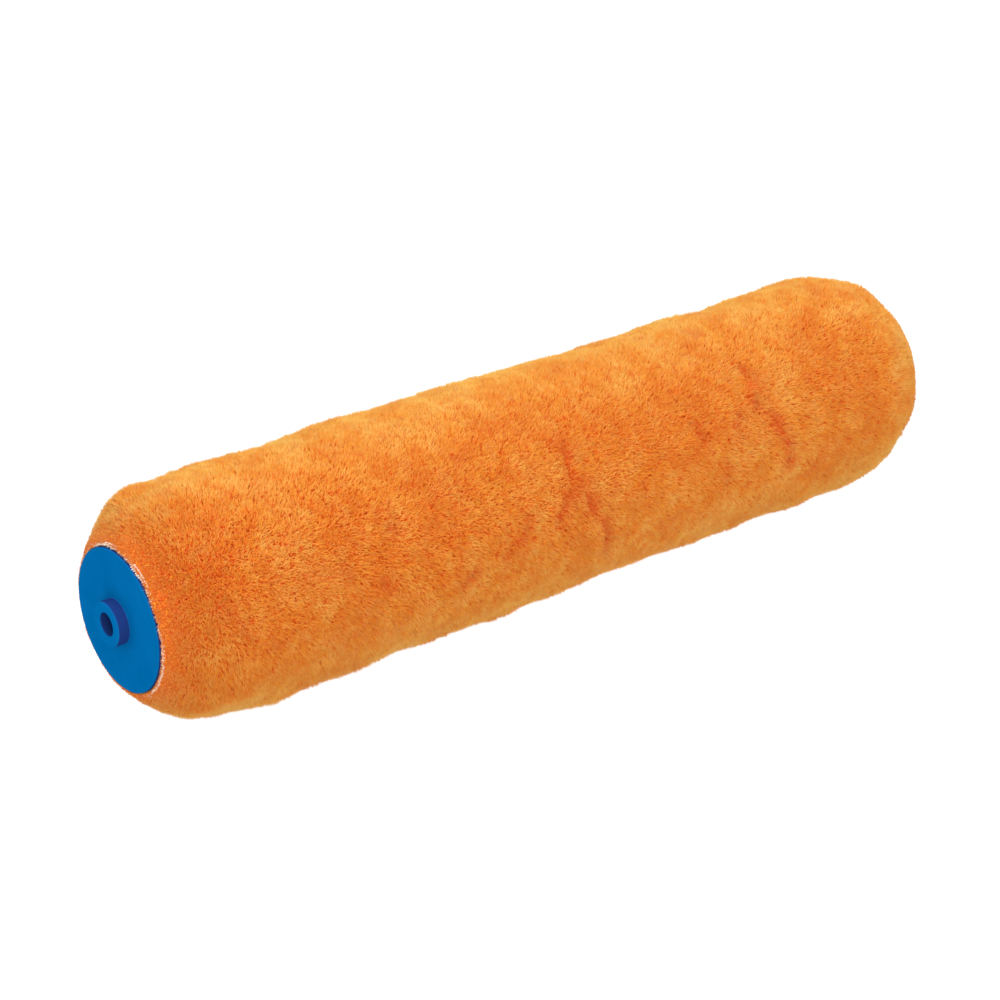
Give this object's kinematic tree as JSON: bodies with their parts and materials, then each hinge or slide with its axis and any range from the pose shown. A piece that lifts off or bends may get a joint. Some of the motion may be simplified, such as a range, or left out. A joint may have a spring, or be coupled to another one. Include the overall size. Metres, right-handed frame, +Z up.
{
  "type": "paint roller sleeve",
  "caption": "Deep-pile paint roller sleeve: an orange fabric cover with rounded shoulders on a hollow core, closed at the ends by blue bossed caps bored to spin on a rod.",
  "frame": {"origin": "middle of the sleeve, on its spin axis", "axes": "+Y along the spin axis towards the far end cap; +Z up; +X to the side, with the sleeve lying level"},
  "size_m": [0.0742, 0.315, 0.0742],
  "materials": {
    "pile": "matte",
    "backing": "matte",
    "glue": "satin",
    "core_board": "matte",
    "cap": "satin"
  },
  "bodies": {
    "root": {"pile_cover": "pile", "fabric_backing": "backing", "glue_film": "glue", "core_outer_ply": "core_board", "core_inner_ply": "core_board", "end_cap_near": "cap", "end_cap_far": "cap"}
  },
  "joints": []
}
